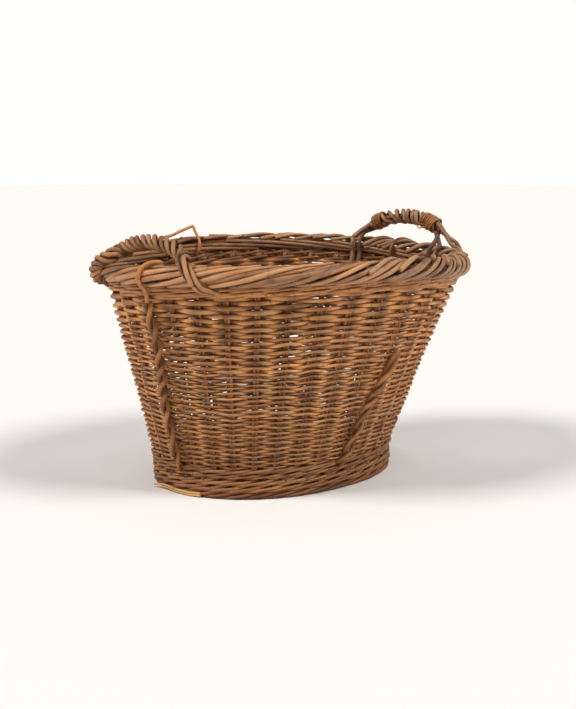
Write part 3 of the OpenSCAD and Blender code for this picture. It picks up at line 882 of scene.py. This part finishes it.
def winding(handle, shares, turns, radii, rod_r, loose, feet):
    """Rods wound round the bow. Share, turn and radius run through the given values, so that the lay is
    close in one place and long in another, and each rod then goes on through the places of its foot."""
    out = []
    n = int(abs(turns[-1] - turns[0]) * 17) + 20
    k, at = np.linspace(0, 1, n), np.linspace(0, 1, len(shares))
    lay = smooth(np.stack([np.asarray(v, float) for v in (shares, turns, radii)], -1), n)[0]
    for strand, (before, after) in enumerate(feet):
        slack = drift(360 * k, 1, loose, (2, 3, 5), 60 + strand + len(feet))[0]
        turn = 2 * np.pi * (lay[:, 1] + strand / len(feet)) + slack
        r = lay[:, 2] + loose * 0.004 * np.abs(np.sin(2.5 * turn + strand))
        path = handle.around(lay[:, 0], r, turn)
        hint = path - handle.line(lay[:, 0])
        path = np.concatenate([v for v in (before, path, after) if v is not None])
        ends = [0 if v is None else len(v) for v in (before, after)]
        hint = np.concatenate([np.repeat(hint[:1], ends[0], 0), hint, np.repeat(hint[-1:], ends[1], 0)])
        path, hint = smooth(path, 2 * len(path)), smooth(hint, 2 * len(path))
        size = rod_r * (1 + 0.07 * rng.normal()) * (1 + 0.06 * np.sin(7 * np.linspace(0, 1, path.shape[1])))
        # Painted shade in the creases between the wound rods and all over them, more on the left handle than on the
        # right
        out.append(rods(path, size[None], hint=hint, sides=12, bumps=0.06, groove=0.7, flank=0.55,
                        painted_shade=0.19 - 0.11 * handle.side, age=0.05 + 0.2 * rng.random() + 0.5 * (handle.side > 0)))
    return out


left_lay = ([0.985, 0.93, 0.86, 0.76, 0.64, 0.52, 0.41, 0.31, 0.22, 0.12, 0.015],
            [0, -0.25, -0.75, -1.6, -2.6, -3.55, -4.35, -4.95, -5.3, -5.55, -5.7],
            [0.0036, 0.0040, 0.0056, 0.0074, 0.0084, 0.0086, 0.0086, 0.0080, 0.0062, 0.0046, 0.0036])
piece("left_handle_bow_rods", [bow_rods(left, 0.16, 0.84)], dark, "left_handle_bow")
piece("left_handle_winding", winding(left, *left_lay, 0.0039, 0.10, [(None, None)] * 4),
      weathered, "left_handle_roping", "left_handle_legs")

# %% The feet of the right handle
inside_turn = np.array([106, 132, 164, 200])
rear_lift = border_r + np.array([0.0072, 0.0074, 0.0078, 0.0080])
rear_inside = [np.concatenate([rim(22.3 + p, rear_lift, inside_turn + 12),
                               wall([22.3 + p] * 2, [0.333, 0.316], [-0.012, -0.006])])
               for p in (1.9, -1.3, 1.6)]
front_lift = np.array([0.0150, 0.0130, 0.0110, 0.0085])
front_inside = [np.concatenate([rim(-21.8 + p, border_r + extra + front_lift, inside_turn + 14),
                                wall([-21.8 + p] * 2, [0.333, 0.320], -extra - np.array([0.013, 0.006]))])[::-1]
                for p, extra in ((1.0, 0.0090), (-1.0, 0.0))]
outside_turn = [-62, -30, 5, 38, 66, 88]
outside_lean = np.array([0.8, 0.7, 0.5, 0.0, -0.8, -1.8])
front_outside = [rim(-25.5 - p - outside_lean, border_r + np.array(r), outside_turn)
                 for p, r in ((0.0, [0.0075, 0.0085, 0.0095, 0.0135, 0.0200, 0.0260]),
                              (2.3, [0.0075, 0.0085, 0.0090, 0.0095, 0.0115, 0.0160]))]
right_lay = ([0.17, 0.28, 0.40, 0.52, 0.66, 0.77, 0.87], [0, 0.6, 1.45, 2.3, 3.0, 3.35, 3.5],
             [0.0076, 0.0082, 0.0092, 0.0096, 0.0092, 0.0082, 0.0076])

# %% The right handle
piece("right_handle_bow_rods", [bow_rods(right, 0.08, 0.92)], dark, "right_handle_bow")
joining = right.around(np.array([0.19, 0.26]), 0.0066, np.array([5.2, 5.0]))
outer = rods(smooth(np.concatenate([front_outside[1], joining]), 40), 0.0038, hint=(0.1, 1, 0.2), sides=10,
             age=0.6, bumps=0.05)
right_feet = [(front_inside[0], rear_inside[0]), (front_inside[1], rear_inside[1]),
              (front_outside[0], rear_inside[2])]
piece("right_handle_winding", winding(right, *right_lay, 0.0040, 0.30, right_feet) + [outer],
      weathered, "right_handle_roping", "right_handle_legs")

# %% [markdown]
# Two thin rods are bound tightly round the right handle, where its winding had worked loose. The rear
# one ends in one short loose tip, and the front one in four.

# %% Bindings
def bound(handle, share, turns, tails, spacing=0.0043, r=0.0134):
    """A close helix of a thin rod, and short loose tips that curl away from it."""
    k = np.linspace(0, 1, turns * 20)
    s = share + (k - 0.5) * spacing * turns / handle.length
    turn = 2 * np.pi * turns * k
    wound = r + 0.0006 * np.sin(turn * 2 + 1) + 0.0004 * np.sin(turn * 0.37)
    path = handle.around(s + 0.010 * np.sin(turn) * 0.6, wound, turn)
    # Painted shade in the creases between the turns of the binding
    out = [rods(path[None], 0.0020, hint=(path - handle.line(s))[None], bumps=0.05, groove=0.8, flank=0.95)]
    for start, middle_step, end_step in tails:
        first = handle.around(np.array([share]), r, np.array([start]))[0]
        knots = np.stack([first, first + np.array(middle_step) * 0.6, first + middle_step, first + end_step])
        out.append(rods(smooth(knots, 14), np.linspace(0.0016, 0.0009, 14)[None], hint=(0.3, 0.2, 1), sides=7))
    return out


rear_tails = [(3.6, (-0.001, -0.004, -0.006), (-0.001, -0.007, -0.011))]
front_tails = [(2.6, (-0.004, 0.012, -0.003), (-0.004, 0.020, 0.004)),
               (2.9, (-0.003, 0.014, 0.001), (-0.003, 0.024, 0.009)),
               (3.4, (-0.001, 0.001, -0.008), (-0.001, 0.002, -0.015)),
               (1.2, (-0.006, 0.012, 0.005), (-0.006, 0.020, 0.007))]
piece("rear_binding", bound(right, 0.79, 5, rear_tails), binding, "right_handle_binding_rear")
piece("front_binding", bound(right, 0.25, 7, front_tails), binding, "right_handle_binding_front")

# %% [markdown]
# ## Rope braces
#
# A rope brace is one long rod, twisted so that it can be bent like rope. It loops over the border and
# comes down the outside of the wall as two strands twisted together, and its tips are threaded into
# the waling at the foot. The strands are two helices, half a turn apart. The front brace has no loop: it
# comes out of the siding and slants down.

# %% Rope braces
def brace(t_top, z_top, t_low, z_low, ply_r=0.0042, lead=0.060, seed=1):
    """Two strands twisted together down the wall, from angle and height to angle and height."""
    length = np.linalg.norm(wall(t_top, z_top) - wall(t_low, z_low))
    turns = length / lead
    n = int(turns * 16)
    k = np.linspace(0, 1, n)[None]
    bend = drift(180 * k, 1, 0.6, (1, 2, 3), seed) * np.sin(np.pi * k)
    t = t_top + (t_low - t_top) * k + bend
    z = z_top + (z_low - z_top) * k
    centre = wall(t, z, 0.0142 - 0.009 * np.clip((k - 0.93) / 0.07, 0, 1))
    outward = unit(wall(t, z, 0.02) - wall(t, z, 0.0))
    along = unit(np.gradient(centre, axis=1))
    across = unit(np.cross(along, outward))
    turn = 2 * np.pi * (turns * k + 0.25 * drift(180 * k, 1, 0.5, (2, 3), seed + 5) + np.array([[0.0], [0.5]]))
    path = centre + ply_r * 1.02 * (np.cos(turn)[..., None] * outward + np.sin(turn)[..., None] * across)
    size = ply_r * (1.04 - 0.22 * k) * (1 + 0.05 * np.array([[1.0], [-1.0]]))
    # Painted shade in the creases between the two strands
    return rods(path, size, hint=path - centre, sides=10, bumps=0.05, groove=0.5, flank=0.35)


def loop(knots, rod_r=0.0034, n=60):
    """A single rod through the given places."""
    return rods(smooth(knots, n), rod_r, hint=(0.7, 0.7, 0.1), sides=10, bumps=0.05, age=0.1)


for name, t, ends in (("left", 183.6, (183.0, 0.318, 182.6, 0.040)), ("right", 0, (0, 0.318, 1, 0.040))):
    piece(name + "_rope", [brace(*ends, seed=len(name))], binding, name + "_brace")
    f = [-52, -25, 5, 40, 75, 110, 150, 190, 228]
    over = rim(t + np.array([0.3, 0, 0, 0.6, 2.2, 4.2, 5.2, 5.6, 5.8]), border_r + 0.0082, f)
    tail = wall([t, t + 0.3], [0.318, 0.334], [0.0165, 0.0170])
    deep = wall([t + 5.8], [0.330], [-0.002])
    piece(name + "_rope_loop", [loop(np.concatenate([tail, over, deep]))],
          binding, name + "_brace_loop")
piece("front_rope", [brace(276, 0.226, 264, 0.040, seed=9)], binding, "front_brace")
piece("rear_rope", [brace(99, 0.324, 75, 0.040, seed=4)], binding, "rear_brace")
t = [101, 98, 95.5, 92, 89.0, 88.3, 88.2, 88.2, 88.1, 88.2, 88.4, 88.6]
f = [60, 80, 90, 92, 92, 92.5, 95, 118, 145, 168, 196, 222]
r = border_r + np.array([0.0080, 0.0082, 0.010, 0.016, 0.0214, 0.0226,
                         0.0220, 0.0122, 0.0095, 0.0088, 0.0085, 0.0080])
piece("rear_rope_loop", [loop(rim(t, r, f), 0.0026, n=90)], binding, "rear_brace_loop")

# %% [markdown]
# ## Floor and light
#
# A pale floor and a pale room with two large soft lamps, one past the left end and one in front. The
# rods are round and shiny enough that a large lamp draws a soft highlight along each of them.

# %% Floor and light
def stage_floor(radius=9, corners=96):
    """A large disc of pale floor: radius times the cosine and the sine of an even walk round."""
    angle = np.linspace(0, 2 * np.pi, corners, endpoint=False)
    edge = np.stack([radius * np.cos(angle), radius * np.sin(angle), 0 * angle], -1)
    mesh = bpy.data.meshes.new("floor")
    mesh.from_pydata(edge.tolist(), [], [list(range(corners))])
    material = bpy.data.materials.new("pale floor")
    material.use_nodes = True
    shader = material.node_tree.nodes["Principled BSDF"]
    shader.inputs["Base Color"].default_value = shade(236, 234, 231)
    shader.inputs["Roughness"].default_value = 0.9
    mesh.materials.append(material)
    floor = bpy.data.objects.new("floor", mesh)
    bpy.context.scene.collection.objects.link(floor)


def sun(name, azimuth, elevation, strength, softness, colour=(1, 1, 1)):
    """A soft distant lamp from an angle round the object and an angle up, as wide as softness in degrees."""
    data = bpy.data.lights.new(name, "SUN")
    data.energy, data.angle, data.color = strength, math.radians(softness), colour
    light = bpy.data.objects.new(name, data)
    light.rotation_euler = (math.radians(90 - elevation), 0, math.radians(azimuth))
    bpy.context.scene.collection.objects.link(light)
    return light


stage_floor()
world = bpy.data.worlds.new("pale room")
world.use_nodes = True
sky = Wires(world.node_tree)
up = sky.add("ShaderNodeSeparateXYZ", {0: sky.add("ShaderNodeTexCoord").outputs["Generated"]}).outputs[2]
level = sky.math("MULTIPLY_ADD", sky.ramp(up, 0.30, 0.10), 0.76, 0.25)
background = world.node_tree.nodes["Background"]
background.inputs["Color"].default_value = (1.0, 0.995, 0.985, 1)
world.node_tree.links.new(level, background.inputs["Strength"])
bpy.context.scene.world = world
bpy.context.scene.view_settings.view_transform = "Standard"
sun("left window", -112, 48, 2.05, 20, (1, 0.975, 0.94))
sun("right window", 14, 50, 1.85, 20, (1, 0.98, 0.95))
print("floor, room and two lamps")
